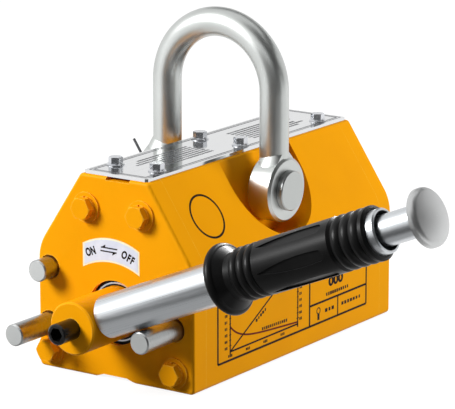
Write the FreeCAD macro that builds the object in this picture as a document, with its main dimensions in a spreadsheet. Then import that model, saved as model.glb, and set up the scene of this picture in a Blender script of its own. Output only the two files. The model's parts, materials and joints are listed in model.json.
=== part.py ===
import FreeCAD, Part
import os
import re

import Sketcher

# Permanent magnetic lifter, in millimetres and degrees.
# Frame: origin at the middle of the base, X along the rotor axis with the front cover at -X,
# Z up. At rest the handle lies in the OFF position, on the -Y side.

SIZES = {
    # Block and covers
    "body_length": 232,
    "body_width": 120,
    "body_height": 130,
    "shoulder_height": 79,
    "top_width": 52,
    "edge_round": 3,
    "shoulder_round": 28,
    "face_round": 2,
    "cover_thickness": 14,
    "pole_gap": 18,
    "groove_width": 32,
    "groove_depth": 2.5,
    "notch_width": 18,
    "notch_depth": 2,
    "notch_shift": 3,
    # Shackle pockets in the sloped sides
    "pocket_radius": 40,
    "pocket_rise": 8,
    "pocket_wall": 28.8,
    "pocket_draft": 9,
    "pocket_reach": 50,
    # Rotor
    "rotor_height": 43.7,
    "rotor_diameter": 65,
    "rotor_clearance": 0.5,
    "end_play": 0.3,
    "end_disc_thickness": 6,
    "rotor_magnet_thickness": 20,
    "rotor_magnet_width": 54,
    "rotor_screw_diameter": 5,
    "rotor_screw_head": 9,
    "rotor_screw_length": 16,
    "rotor_screw_across": 38,
    "rotor_screw_rise": 24,
    # Fixed magnets and the sleeve round the shackle pin
    "magnet_base_height": 80,
    "magnet_margin": 2,
    "sleeve_wall": 5,
    # Hub, bushes and seal
    "hub_diameter": 33.5,
    "hub_reach": 44,
    "hub_chamfer": 1,
    "hub_opening": 41.6,
    "lip_thickness": 3.5,
    "running_clearance": 0.05,
    "bush_wall": 5,
    "bush_flange": 5,
    "bush_flange_thickness": 2,
    "seal_thickness": 3,
    "seal_gap": 0.3,
    "journal_diameter": 24,
    "rear_bush_depth": 9,
    "journal_end_gap": 1.5,
    # Stop pins and the lock pin
    "pin_diameter": 14,
    "pin_chamfer": 0.8,
    "pin_recess": 16,
    "pin_recess_depth": 2,
    "pin_seat_depth": 12,
    "stop_pin_reach": 36.5,
    "off_pin_across": 45.4,
    "off_pin_height": 40.1,
    "on_pin_across": 51.6,
    "on_pin_height": 29.3,
    "lock_pin_across": 51,
    "lock_pin_height": 65.8,
    "lock_gap": 0.5,
    "rest_gap": 0.3,
    # Cover bolts and their washers
    "bolt_diameter": 8,
    "bolt_head_across": 13,
    "bolt_head_height": 4.8,
    "bolt_grip": 14,
    "bolt_hole_clearance": 0.4,
    "spring_washer_diameter": 14.4,
    "spring_washer_thickness": 1.4,
    "spring_washer_split": 1.6,
    "flat_washer_diameter": 19.5,
    "flat_washer_thickness": 1.2,
    "upper_bolt_across": 21,
    "upper_bolt_height": 109,
    "near_lower_bolt_across": 46,
    "far_lower_bolt_across": 50,
    "lower_bolt_height": 12.5,
    # Top plate and its bolts
    "plate_length": 228,
    "plate_width": 49,
    "plate_thickness": 2,
    "plate_corner": 2,
    "plate_bolt_pitch": 92,
    "plate_bolt_across": 32,
    "plate_bolt_diameter": 5,
    "plate_bolt_head_across": 8,
    "plate_bolt_head_height": 4.2,
    "plate_bolt_flange": 11.4,
    "plate_bolt_flange_thickness": 1.2,
    "plate_bolt_flange_slope": 1.3,
    "plate_bolt_grip": 9,
    # Shackle, its pin, washers and split pin
    "shackle_bar": 19,
    "shackle_width": 84,
    "shackle_rise": 104.4,
    "eye_diameter": 42,
    "eye_inner": 34.5,
    "eye_thickness": 18,
    "eye_chamfer": 1.6,
    "neck_base": 12.6,
    "neck_rise": 11,
    "neck_sink": 1,
    "shackle_pin_depth": 23,
    "shackle_pin_diameter": 16,
    "eye_clearance": 0.08,
    "side_play": 0.2,
    "pin_head_diameter": 26,
    "pin_head_thickness": 2.6,
    "pin_head_chamfer": 0.6,
    "pin_washer_thickness": 1.4,
    "split_pin_setback": 7.4,
    "split_pin_wire": 3.6,
    "split_pin_leg": 13,
    "split_pin_spread": 34,
    "split_pin_eye": 7,
    "shackle_pin_tail": 4,
    # Handle
    "handle_offset": 27,
    "bar_diameter": 19,
    "bar_depth": 12,
    "screw_diameter": 13.4,
    "screw_reach": 15.5,
    "screw_seat": 1,
    "screw_socket_across": 8,
    "screw_socket_depth": 6,
    "tube_diameter": 27,
    "tube_wall": 1.6,
    "tube_length": 214.4,
    "tube_chamfer": 0.6,
    "tube_gap": 0.3,
    "sleeve_travel": 20,
    "inner_guide_length": 15,
    "outer_guide_setback": 81.4,
    "outer_guide_length": 10,
    "spring_seat_setback": 18.4,
    "spring_seat_thickness": 3,
    "spring_wire": 1.8,
    "spring_turns": 6,
    # Grip
    "grip_setback": 5.6,
    "grip_length": 114.8,
    "grip_diameter": 33,
    "grip_flange": 45.4,
    "grip_flange_thickness": 6,
    "grip_neck": 30,
    "grip_neck_length": 8.6,
    "grip_ring_height": 1.6,
    "grip_front_rings": 3,
    "grip_front_ring": 5.6,
    "grip_rear_rings": 3,
    "grip_rear_ring": 6.6,
    "grip_end_lip": 4.6,
    "grip_flutes": 6,
    "grip_flute_turn": -6,
    "grip_flute_start": 35,
    "grip_flute_length": 49,
    "grip_flute_width": 6.6,
    "grip_flute_depth": 1.2,
    "flute_nose": 0.32,
    "flute_bend": 0.55,
    "flute_sweep": 3,
    # Knob
    "knob_diameter": 35.2,
    "knob_gap": 2.7,
    "knob_flare": 4.5,
    "knob_rim": 2.2,
    "knob_dome": 6,
    "knob_shoulder": 3.5,
    "knob_spigot": 12,
    "knob_seat_depth": 4,
    # Arc radius of a rounded rim over the rim's thickness, and how far a cut runs past a face
    "half_round": 0.51,
    "overcut": 1,
}

doc = FreeCAD.newDocument("magnetic_lifter")
sheet = doc.addObject("Spreadsheet::Sheet", "sizes")
for row, (alias, number) in enumerate(SIZES.items(), start=1):
    sheet.set(f"A{row}", alias)
    sheet.set(f"B{row}", str(number))
    sheet.setAlias(f"B{row}", alias)
doc.recompute()

ALIAS = re.compile(r"\b(" + "|".join(SIZES) + r")\b")

# Places and sizes that follow from the driving ones, as expression text
FACE = "(body_length / 2)"
POLE_END = "(body_length / 2 - cover_thickness)"
BORE_RADIUS = "(rotor_diameter / 2 + rotor_clearance)"
ROTOR_END = f"({POLE_END} - bush_flange_thickness - end_play)"
CORE_END = f"({ROTOR_END} - end_disc_thickness)"
FRONT_BUSH_BORE = "(hub_diameter / 2 + running_clearance)"
FRONT_BUSH_RADIUS = f"({FRONT_BUSH_BORE} + bush_wall)"
REAR_BUSH_BORE = "(journal_diameter / 2 + running_clearance)"
REAR_BUSH_RADIUS = f"({REAR_BUSH_BORE} + bush_wall)"
HANDLE_X = "(-body_length / 2 - handle_offset)"
OFF_DROP = "(rotor_height - off_pin_height)"
OFF_ARM = f"sqrt(off_pin_across ^ 2 + {OFF_DROP} ^ 2)"
OFF_LIFT = "(tube_diameter / 2 + pin_diameter / 2 + rest_gap)"
OFF_ANGLE = f"(asin({OFF_LIFT} / {OFF_ARM}) - atan({OFF_DROP} / off_pin_across))"
TUBE_START = "(hub_diameter / 2 + tube_gap)"
TUBE_END = f"({TUBE_START} + tube_length)"
TUBE_BORE = "(tube_diameter / 2 - tube_wall)"
GRIP_END = f"({TUBE_END} - grip_setback)"
GRIP_START = f"({GRIP_END} - grip_length)"
KNOB_BASE = f"({TUBE_END} + sleeve_travel + knob_gap)"
OUTER_GUIDE = f"({TUBE_END} - outer_guide_setback)"
SPRING_SEAT = f"({TUBE_END} - spring_seat_setback)"
BOLT_HOLE_RADIUS = "((bolt_diameter + bolt_hole_clearance) / 2)"
WASHERS = "(flat_washer_thickness + spring_washer_thickness)"
SHACKLE_AXIS = "(body_height - shackle_pin_depth)"
EYE_OUTER = "(eye_inner + eye_thickness)"
WASHER_FACE = f"({EYE_OUTER} + side_play + pin_washer_thickness)"
SPLIT_PIN_Y = f"({WASHER_FACE} + split_pin_setback)"


def expr(text):
    """Expression text with every size looked up in the sheet."""
    return ALIAS.sub(r"sizes.\1", text)


def value(text):
    """The number that plain arithmetic on sizes comes to, for first guesses and for finding edges."""
    numbers = ALIAS.sub(lambda match: repr(float(sheet.get(match.group(1)))), text)
    return FreeCAD.Units.parseQuantity(numbers).Value


def bind(item, **sizes):
    """Tie properties of a document object to the sheet."""
    for name, text in sizes.items():
        item.setExpression(name, expr(text))
    return item


def place(item, x="0", y="0", z="0", axis="0; 0; 1", angle="0"):
    """Tie an object's placement to the sheet."""
    spin = f"rotation(vector({axis}); {angle})"
    item.setExpression("Placement", expr(f"placement(vector({x}; {y}; {z}); {spin})"))
    return item


def on_rotor(item, x="0"):
    """Place a piece built about the rotor axis, turned to the OFF position."""
    return place(item, x=x, z="rotor_height", axis="-1; 0; 0", angle=OFF_ANGLE)


def add(kind, name):
    return doc.addObject(kind, name)


def new_body(label):
    body = add("PartDesign::Body", label)
    body.Label = label
    return body


def new_sketch(body, plane, name):
    """Empty sketch on one of the body's own origin planes."""
    sketch = body.newObject("Sketcher::SketchObject", name)
    support = next(f for f in body.Origin.OriginFeatures if f.Role == plane)
    sketch.AttachmentSupport = [(support, "")]
    sketch.MapMode = "FlatFace"
    return sketch


def tie(sketch, kind, geometry, text):
    """Constraint whose value is an expression; geometry is the constraint's list of elements."""
    index = sketch.addConstraint(Sketcher.Constraint(kind, *geometry, value(text)))
    sketch.setExpression(f"Constraints[{index}]", expr(text))


def arc_between(start, end, radius):
    """Short arc from start to end; a positive radius bulges to the right of the way along."""
    chord = end - start
    middle = (start + end) / 2
    side = FreeCAD.Vector(chord.y, -chord.x, 0).normalize()
    rise = abs(radius) - (radius * radius - chord.Length ** 2 / 4) ** 0.5
    top = middle + side * (rise if radius > 0 else -rise)
    return Part.Arc(start, top, end)


def draw(sketch, points):
    """Closed outline; a third entry on a point is the radius of the arc to the next point."""
    spots = [FreeCAD.Vector(value(p[0]), value(p[1]), 0) for p in points]
    count = len(points)
    starts = []
    for index, point in enumerate(points):
        here = spots[index]
        there = spots[(index + 1) % count]
        if len(point) > 2:
            sign = -1 if point[2].startswith("-") else 1
            size = point[2].lstrip("-")
            curve = arc_between(here, there, sign * value(size))
            edge = sketch.addGeometry(curve, False)
            tie(sketch, "Radius", (edge,), size)
        else:
            edge = sketch.addGeometry(Part.LineSegment(here, there), False)
        first = sketch.getPoint(edge, 1)
        starts.append((edge, 1 if first.distanceToPoint(here) < 1e-6 else 2))
    for index, (edge, end) in enumerate(starts):
        after = starts[(index + 1) % count]
        sketch.addConstraint(Sketcher.Constraint("Coincident", edge, 3 - end, *after))
    for (edge, end), point in zip(starts, points):
        tie(sketch, "DistanceX", (-1, 1, edge, end), point[0])
        tie(sketch, "DistanceY", (-1, 1, edge, end), point[1])
    return sketch


def padded(body, plane, points, length, middle=False, back=False):
    """Outline pulled along its plane's normal."""
    sketch = draw(new_sketch(body, plane, f"{body.Label}_outline"), points)
    pad = body.newObject("PartDesign::Pad", f"{body.Label}_pad")
    pad.Profile = sketch
    pad.Midplane = middle
    pad.Reversed = back
    return bind(pad, Length=length)


def cut_through(body, plane, points, name):
    """Outline cut through the whole body."""
    sketch = draw(new_sketch(body, plane, f"{body.Label}_{name}_outline"), points)
    pocket = body.newObject("PartDesign::Pocket", f"{body.Label}_{name}")
    pocket.Profile = sketch
    pocket.Type = "ThroughAll"
    pocket.Midplane = True
    return pocket


def turned(body, points, axis, plane="XY_Plane", groove=False):
    """Profile turned about the sketch's H_Axis or V_Axis."""
    kind = "Groove" if groove else "Revolution"
    sketch = draw(new_sketch(body, plane, f"{body.Label}_{kind}_profile"), points)
    turn = body.newObject(f"PartDesign::{kind}", f"{body.Label}_{kind}")
    turn.Profile = sketch
    turn.ReferenceAxis = (sketch, [axis])
    turn.Angle = 360
    return turn


def about_rotor(label, points):
    """Piece turned about X, from points of place along X and radius."""
    body = new_body(label)
    turned(body, points, "H_Axis")
    return body


def about_handle(label, points):
    """Piece turned about the handle's axis, from points of distance from the rotor axis and radius."""
    body = new_body(label)
    turned(body, [(p[1], f"-({p[0]})", *p[2:]) for p in points], "V_Axis")
    return on_rotor(body, x=HANDLE_X)


def ring_profile(start, end, inner, outer):
    return [(start, inner), (start, outer), (end, outer), (end, inner)]


def rounded(body, radius, test):
    """Fillet on the edges of the body's last feature that pass a test."""
    doc.recompute()
    base = body.Tip
    names = [f"Edge{n}" for n, edge in enumerate(base.Shape.Edges, start=1) if test(edge)]
    fillet = body.newObject("PartDesign::Fillet", f"{body.Label}_round_{radius}")
    fillet.Base = (base, names)
    return bind(fillet, Radius=radius)


def cylinder(name, radius, length, x="0", y="0", z="0", along="Z"):
    """Round bar or bore from a start point along +X, +Y, +Z or their opposites."""
    axis, angle = {
        "X": ("0; 1; 0", "90"), "-X": ("0; 1; 0", "-90"),
        "Y": ("1; 0; 0", "-90"), "-Y": ("1; 0; 0", "90"),
        "Z": ("0; 0; 1", "0"), "-Z": ("1; 0; 0", "180"),
    }[along]
    bar = bind(add("Part::Cylinder", name), Radius=radius, Height=length)
    return place(bar, x, y, z, axis, angle)


def box(name, low, high):
    """Block between two corners."""
    block = bind(
        add("Part::Box", name),
        Length=f"{high[0]} - ({low[0]})",
        Width=f"{high[1]} - ({low[1]})",
        Height=f"{high[2]} - ({low[2]})",
    )
    return place(block, *low)


def fused(name, pieces):
    joined = add("Part::MultiFuse", name)
    joined.Shapes = pieces
    joined.Refine = True
    return joined


def cut(label, base, tools):
    """Base with every tool cut away, as the named sub-part."""
    result = add("Part::Cut", f"{label}_cut")
    result.Base = base
    result.Tool = tools[0] if len(tools) == 1 else fused(f"{label}_tools", tools)
    result.Label = label
    return result


def group(label, pieces):
    """Separate solids that share one node."""
    result = add("Part::Compound", f"{label}_group")
    result.Links = pieces
    result.Label = label
    return result


def copies(label, master, places):
    """Copies of one piece, each at its own place."""
    links = []
    for number, spot in enumerate(places, start=1):
        link = add("App::Link", f"{label}_{number}")
        link.LinkedObject = master
        links.append(place(link, **spot))
    return group(label, links)


# Cover bolts: hex head towards -X, shank towards +X, seat at x = 0
NEAR_BOLTS = [("-upper_bolt_across", "upper_bolt_height"), ("-near_lower_bolt_across", "lower_bolt_height")]
FAR_BOLTS = [("upper_bolt_across", "upper_bolt_height"), ("far_lower_bolt_across", "lower_bolt_height")]
COVER_BOLTS = NEAR_BOLTS + FAR_BOLTS


def hexagon(across):
    """Corner points of a hexagon with two flats level."""
    corner = f"{across} / sqrt(3)"
    half = f"{across} / 2"
    return [
        (f"{corner}", "0"), (f"{corner} / 2", half), (f"-{corner} / 2", half),
        (f"-{corner}", "0"), (f"-{corner} / 2", f"-{half}"), (f"{corner} / 2", f"-{half}"),
    ]


def cover_seats(lift):
    """Places of the eight cover bolts, front then rear, at a height above the covers."""
    front = [dict(x=f"-{FACE} - {lift}", y=y, z=z) for y, z in COVER_BOLTS]
    rear = [dict(x=f"{FACE} + {lift}", y=y, z=z, angle="180") for y, z in COVER_BOLTS]
    return front + rear


def crown(body, across, height, axis, plane, lay):
    """Slope off the outer corners of a hex head; lay puts place and radius into the sketch's order."""
    corner = f"{across} / sqrt(3)"
    flat = f"{across} / 2"
    slope = f"({corner} - {flat}) / 2"
    points = [
        (height, flat), (height, f"{corner} + overcut"),
        (f"{height} - {slope} - overcut / 2", f"{corner} + overcut"),
    ]
    turned(body, [lay(*p) for p in points], axis, plane, groove=True)


def make_cover_bolts():
    bolt = new_body("cover_bolt")
    padded(bolt, "YZ_Plane", hexagon("bolt_head_across"), "bolt_head_height", back=True)
    turned(bolt, [
        ("0", "0"), ("0", "bolt_diameter / 2"),
        (f"{WASHERS} + cover_thickness + bolt_grip", "bolt_diameter / 2"),
        (f"{WASHERS} + cover_thickness + bolt_grip", "0"),
    ], "H_Axis")
    crown(bolt, "bolt_head_across", "bolt_head_height", "H_Axis", "XY_Plane", lambda s, r: (f"-({s})", r))
    seats = cover_seats(WASHERS)
    return [
        copies("front_cover_bolts", bolt, seats[:4]),
        copies("rear_cover_bolts", bolt, seats[4:]),
    ]


def make_cover_washers():
    flat = about_rotor("flat_washer", ring_profile(
        "0", "flat_washer_thickness", BOLT_HOLE_RADIUS, "flat_washer_diameter / 2"))
    ring = about_rotor("whole_spring_washer", ring_profile(
        "0", "spring_washer_thickness", BOLT_HOLE_RADIUS, "spring_washer_diameter / 2"))
    split = box("spring_washer_gap", ("-overcut", "-spring_washer_split / 2", "0"),
                ("spring_washer_thickness + overcut", "spring_washer_split / 2", "spring_washer_diameter"))
    spring = cut("spring_washer", ring, [split])
    return [
        copies("cover_flat_washers", flat, cover_seats("flat_washer_thickness")),
        copies("cover_spring_washers", spring, cover_seats(WASHERS)),
    ]


# Block: two pole blocks, spacer strip, fixed magnets and the sleeve between them
OUTLINE = [
    ("-body_width / 2", "0"), ("body_width / 2", "0"), ("body_width / 2", "shoulder_height"),
    ("top_width / 2", "body_height"), ("-top_width / 2", "body_height"),
    ("-body_width / 2", "shoulder_height"),
]


def is_long_edge(edge, heights):
    """Straight edge along X on the outside of the block, at one of the given heights."""
    bounds = edge.BoundBox
    outside = abs(bounds.Center.y) > value("top_width") / 2 - 0.01
    level = any(abs(bounds.Center.z - height) < 0.01 for height in heights)
    return outside and level and bounds.YLength < 0.01 and bounds.ZLength < 0.01


def round_long_edges(body):
    ends = (0, value("body_height"))
    rounded(body, "edge_round", lambda edge: is_long_edge(edge, ends))
    rounded(body, "shoulder_round", lambda edge: is_long_edge(edge, (value("shoulder_height"),)))


def rotor_bore(name, radius, start, length):
    return cylinder(name, radius, length, x=start, z="rotor_height", along="X")


def shackle_pocket():
    """U-shaped scoop whose back wall leans inwards towards the top."""
    body = new_body("shackle_pocket")
    padded(body, "XZ_Plane", [
        ("-pocket_radius", "0", "pocket_radius"), ("0", "-pocket_radius", "pocket_radius"),
        ("pocket_radius", "0"), ("pocket_radius", "pocket_radius"), ("-pocket_radius", "pocket_radius"),
    ], "pocket_reach")
    deep = f"{SHACKLE_AXIS} + pocket_rise"
    return place(body, y="-pocket_wall", z=deep, axis="-1; 0; 0", angle="pocket_draft")


def pole_bores(name, bolts, side):
    """Tapped bores of one pole block: cover bolts from both ends, plate bolts from above."""
    bores = []
    for across, height in bolts:
        for end, along in (("-", "X"), ("", "-X")):
            bores.append(cylinder(
                f"{name}_cover_bore", "bolt_diameter / 2", "bolt_grip + 2 * overcut",
                x=f"{end}{POLE_END}", y=across, z=height, along=along))
    for x in ("-plate_bolt_pitch", "0", "plate_bolt_pitch"):
        bores.append(cylinder(
            f"{name}_plate_bore", "plate_bolt_diameter / 2", "plate_bolt_grip + overcut",
            x=x, y=f"{side}plate_bolt_across / 2", z="body_height", along="-Z"))
    return bores


def make_pole_blocks():
    blank = new_body("pole_blank")
    padded(blank, "YZ_Plane", [
        ("-groove_width / 2", "0"), ("-pole_gap / 2", "groove_depth"), ("-pole_gap / 2", "body_height"),
        ("-top_width / 2", "body_height"), ("-body_width / 2", "shoulder_height"), ("-body_width / 2", "0"),
    ], f"2 * {POLE_END}", middle=True)
    round_long_edges(blank)
    near_half = cut("near_half", blank, [
        rotor_bore("rotor_bore", BORE_RADIUS, f"-{POLE_END} - overcut", f"2 * ({POLE_END} + overcut)"),
        shackle_pocket(),
        cylinder("shackle_pin_bore", "shackle_pin_diameter / 2", "body_width",
                 z=SHACKLE_AXIS, along="-Y"),
    ])
    far_half = add("Part::Mirroring", "far_half")
    far_half.Source = near_half
    far_half.Normal = FreeCAD.Vector(0, 1, 0)
    return [
        cut("near_pole_block", near_half, pole_bores("near", NEAR_BOLTS, "-")),
        cut("far_pole_block", far_half, pole_bores("far", FAR_BOLTS, "")),
    ]


def make_pole_spacer():
    strip = box("spacer_strip", (f"-{POLE_END}", "-pole_gap / 2", "groove_depth"),
                (POLE_END, "pole_gap / 2", "rotor_height"))
    bore = rotor_bore("spacer_bore", BORE_RADIUS, f"-{POLE_END} - overcut", f"2 * ({POLE_END} + overcut)")
    return cut("pole_spacer", strip, [bore])


def make_fixed_magnets():
    inner = "(shackle_pin_diameter / 2 + sleeve_wall + magnet_margin)"
    outer = f"({POLE_END} - magnet_margin)"
    middle = f"(({inner} + {outer}) / 2)"
    spans = [(f"-{outer}", f"-{middle}"), (f"-{middle}", f"-{inner}"), (inner, middle), (middle, outer)]
    blocks = [
        box("fixed_magnet", (start, "-pole_gap / 2", "magnet_base_height"),
            (end, "pole_gap / 2", "body_height - magnet_margin"))
        for start, end in spans
    ]
    return group("fixed_magnets", blocks)


def make_pin_sleeve():
    body = new_body("pin_sleeve")
    inner = "shackle_pin_diameter / 2"
    turned(body, [
        (inner, "-pole_gap / 2"), (f"{inner} + sleeve_wall", "-pole_gap / 2"),
        (f"{inner} + sleeve_wall", "pole_gap / 2"), (inner, "pole_gap / 2"),
    ], "V_Axis")
    return place(body, z=SHACKLE_AXIS)


# Covers
def cover_blank(label, front):
    """Plate with the block's outline, its outer face rounded and the base groove cut."""
    body = new_body(label)
    padded(body, "YZ_Plane", OUTLINE, "cover_thickness")
    round_long_edges(body)
    face = 0 if front else value("cover_thickness")
    rounded(body, "face_round", lambda e: abs(e.BoundBox.XMin - face) + abs(e.BoundBox.XMax - face) < 0.01)
    cut_through(body, "YZ_Plane", [
        ("-groove_width / 2", "0"), ("groove_width / 2", "0"),
        ("pole_gap / 2", "groove_depth"), ("-pole_gap / 2", "groove_depth"),
    ], "groove")
    if front:
        low = "body_height - notch_depth"
        left = "-notch_shift - notch_width / 2"
        right = "-notch_shift + notch_width / 2"
        cut_through(body, "YZ_Plane", [
            (left, low), (right, low), (right, "body_height"), (left, "body_height"),
        ], "notch")
    return place(body, x=f"-{FACE}" if front else POLE_END)


def bolt_holes(end):
    return [
        cylinder("cover_bolt_hole", BOLT_HOLE_RADIUS, "cover_thickness + 2 * overcut",
                 x=f"{end} - overcut", y=across, z=height, along="X")
        for across, height in COVER_BOLTS
    ]


PINS = {
    "off_stop_pin": ("-off_pin_across", "off_pin_height", "stop_pin_reach"),
    "on_stop_pin": ("on_pin_across", "on_pin_height", "stop_pin_reach"),
    "lock_pin": ("lock_pin_across", "lock_pin_height", "(handle_offset - tube_diameter / 2 - lock_gap)"),
}


def make_front_cover():
    tools = bolt_holes(f"-{FACE}")
    tools.append(rotor_bore("hub_hole", "hub_opening / 2", f"-{FACE} - overcut",
                            "cover_thickness + 2 * overcut"))
    tools.append(rotor_bore("front_bush_seat", FRONT_BUSH_RADIUS, f"-{FACE} + lip_thickness",
                            "cover_thickness - lip_thickness + overcut"))
    for y, z, reach in PINS.values():
        tools.append(cylinder("pin_seat", "pin_diameter / 2", "pin_seat_depth + overcut",
                              x=f"-{FACE} - overcut", y=y, z=z, along="X"))
        tools.append(cylinder("pin_recess_cut", "pin_recess / 2", "pin_recess_depth + overcut",
                              x=f"-{FACE} - overcut", y=y, z=z, along="X"))
    return cut("front_cover", cover_blank("front_cover_blank", True), tools)


def make_rear_cover():
    tools = bolt_holes(POLE_END)
    tools.append(rotor_bore("rear_bush_seat", REAR_BUSH_RADIUS, f"{POLE_END} - overcut",
                            "rear_bush_depth + journal_end_gap + overcut"))
    return cut("rear_cover", cover_blank("rear_cover_blank", False), tools)


def make_pins():
    pins = []
    for label, (y, z, reach) in PINS.items():
        end = f"-({reach})"
        pin = about_rotor(label, [
            ("pin_seat_depth", "0"), ("pin_seat_depth", "pin_diameter / 2"),
            (f"{end} + pin_chamfer", "pin_diameter / 2"), (end, "pin_diameter / 2 - pin_chamfer"), (end, "0"),
        ])
        pins.append(place(pin, x=f"-{FACE}", y=y, z=z))
    return pins


def make_bushes_and_seal():
    seal_front = f"-{FACE} + lip_thickness"
    bush_front = f"{seal_front} + seal_thickness"
    front = about_rotor("front_bush", [
        (bush_front, FRONT_BUSH_BORE), (bush_front, FRONT_BUSH_RADIUS), (f"-{POLE_END}", FRONT_BUSH_RADIUS),
        (f"-{POLE_END}", f"{FRONT_BUSH_RADIUS} + bush_flange"),
        (f"-{POLE_END} + bush_flange_thickness", f"{FRONT_BUSH_RADIUS} + bush_flange"),
        (f"-{POLE_END} + bush_flange_thickness", FRONT_BUSH_BORE),
    ])
    rear = about_rotor("rear_bush", [
        (f"{POLE_END} - bush_flange_thickness", REAR_BUSH_BORE),
        (f"{POLE_END} - bush_flange_thickness", f"{REAR_BUSH_RADIUS} + bush_flange"),
        (POLE_END, f"{REAR_BUSH_RADIUS} + bush_flange"), (POLE_END, REAR_BUSH_RADIUS),
        (f"{POLE_END} + rear_bush_depth", REAR_BUSH_RADIUS),
        (f"{POLE_END} + rear_bush_depth", REAR_BUSH_BORE),
    ])
    seal = about_rotor("shaft_seal", ring_profile(
        seal_front, bush_front, "hub_diameter / 2 + seal_gap", FRONT_BUSH_RADIUS))
    return [place(piece, z="rotor_height") for piece in (front, rear, seal)]


# Rotor, built about X and turned to the OFF position
SCREW_SEATS = [
    (f"{side}rotor_screw_across / 2", f"{level}rotor_screw_rise / 2")
    for side in ("-", "") for level in ("-", "")
]


def make_rotor_screws():
    """Countersunk screws: flat head at x = 0, shank towards +X."""
    screw = about_rotor("rotor_screw", [
        ("0", "0"), ("0", "rotor_screw_head / 2"),
        ("(rotor_screw_head - rotor_screw_diameter) / 2", "rotor_screw_diameter / 2"),
        ("rotor_screw_length", "rotor_screw_diameter / 2"), ("rotor_screw_length", "0"),
    ])
    front = [dict(x=f"-{ROTOR_END}", y=y, z=z) for y, z in SCREW_SEATS]
    rear = [dict(x=ROTOR_END, y=y, z=z, angle="180") for y, z in SCREW_SEATS]
    return screw, copies("rotor_screws_in_place", screw, front + rear)


def make_rotor():
    screw, screws = make_rotor_screws()
    radius = "rotor_diameter / 2"
    front_blank = about_rotor("hub_blank", [
        (f"-{CORE_END}", "0"), (f"-{CORE_END}", radius), (f"-{ROTOR_END}", radius),
        (f"-{ROTOR_END}", "hub_diameter / 2"), (f"-{FACE} - hub_reach + hub_chamfer", "hub_diameter / 2"),
        (f"-{FACE} - hub_reach", "hub_diameter / 2 - hub_chamfer"), (f"-{FACE} - hub_reach", "0"),
    ])
    hub = cut("rotor_hub_level", front_blank, [
        screws,
        cylinder("bar_bore", "bar_diameter / 2", "bar_depth + hub_diameter",
                 x=HANDLE_X, y="bar_depth", along="-Y"),
        cylinder("set_screw_bore", "screw_diameter / 2", "handle_offset",
                 x=f"-{FACE} - hub_reach - overcut", along="X"),
    ])
    rear_blank = about_rotor("rear_disc_blank", [
        (CORE_END, "0"), (CORE_END, radius), (ROTOR_END, radius), (ROTOR_END, "journal_diameter / 2"),
        (f"{POLE_END} + rear_bush_depth", "journal_diameter / 2"), (f"{POLE_END} + rear_bush_depth", "0"),
    ])
    rear = cut("rotor_rear_disc_level", rear_blank, [screws])
    core = cylinder("rotor_core", radius, f"2 * {CORE_END}", x=f"-{CORE_END}", along="X")
    slot = box("magnet_slot", (f"-{CORE_END} - overcut", "-rotor_magnet_thickness / 2", f"-{radius}"),
               (f"{CORE_END} + overcut", "rotor_magnet_thickness / 2", radius))
    segments = cut("rotor_segments_level", core, [slot, screws])
    quarter = f"({CORE_END} / 2)"
    magnets = group("rotor_magnets_level", [
        box("rotor_magnet", (f"({n} * {quarter})", "-rotor_magnet_thickness / 2", "-rotor_magnet_width / 2"),
            (f"({n + 1} * {quarter})", "rotor_magnet_thickness / 2", "rotor_magnet_width / 2"))
        for n in (-2, -1, 0, 1)
    ])
    keeper_core = cylinder("keeper_core", radius, f"2 * {CORE_END}", x=f"-{CORE_END}", along="X")
    keeper_slot = add("Part::Common", "keeper_slot")
    keeper_slot.Base = keeper_core
    keeper_slot.Tool = slot
    room = box("keeper_room", (f"-{CORE_END} - overcut", f"-{radius}", "-rotor_magnet_width / 2"),
               (f"{CORE_END} + overcut", radius, "rotor_magnet_width / 2"))
    keepers = cut("rotor_keepers_level", keeper_slot, [room])
    level = {
        "rotor_hub": hub, "rotor_rear_disc": rear, "rotor_segments": segments,
        "rotor_magnets": magnets, "rotor_keepers": keepers, "rotor_screws": screws,
    }
    pieces = []
    for label, piece in level.items():
        link = add("App::Link", f"{label}_turned")
        link.LinkedObject = piece
        link.Label = label
        pieces.append(on_rotor(link))
    return pieces


# Handle: bar, set screw, knob and spring seat turn with the rotor
def make_bar():
    bar = about_handle("bar_blank", [
        ("-bar_depth", "0"), ("-bar_depth", "bar_diameter / 2"), (KNOB_BASE, "bar_diameter / 2"),
        (KNOB_BASE, "knob_spigot / 2"), (f"{KNOB_BASE} + knob_seat_depth", "knob_spigot / 2"),
        (f"{KNOB_BASE} + knob_seat_depth", "0"),
    ])
    seat = cylinder("screw_seat_cut", "screw_diameter / 2", "bar_diameter / 2",
                    x=f"{HANDLE_X} - bar_diameter / 2 + screw_seat", z="rotor_height", along="-X")
    return cut("handle_bar", bar, [seat])


def make_set_screw():
    outer = f"(-{FACE} - hub_reach - screw_reach)"
    inner = f"({HANDLE_X} - bar_diameter / 2 + screw_seat)"
    body = about_rotor("set_screw_blank", [
        (inner, "0"), (inner, "screw_diameter / 2"), (f"{outer} + pin_chamfer", "screw_diameter / 2"),
        (outer, "screw_diameter / 2 - pin_chamfer"), (outer, "0"),
    ])
    place(body, z="rotor_height")
    socket = new_body("hex_socket")
    padded(socket, "YZ_Plane", hexagon("screw_socket_across"), "screw_socket_depth + overcut")
    place(socket, x=f"{outer} - overcut", z="rotor_height")
    return cut("hub_set_screw", body, [socket])


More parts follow.
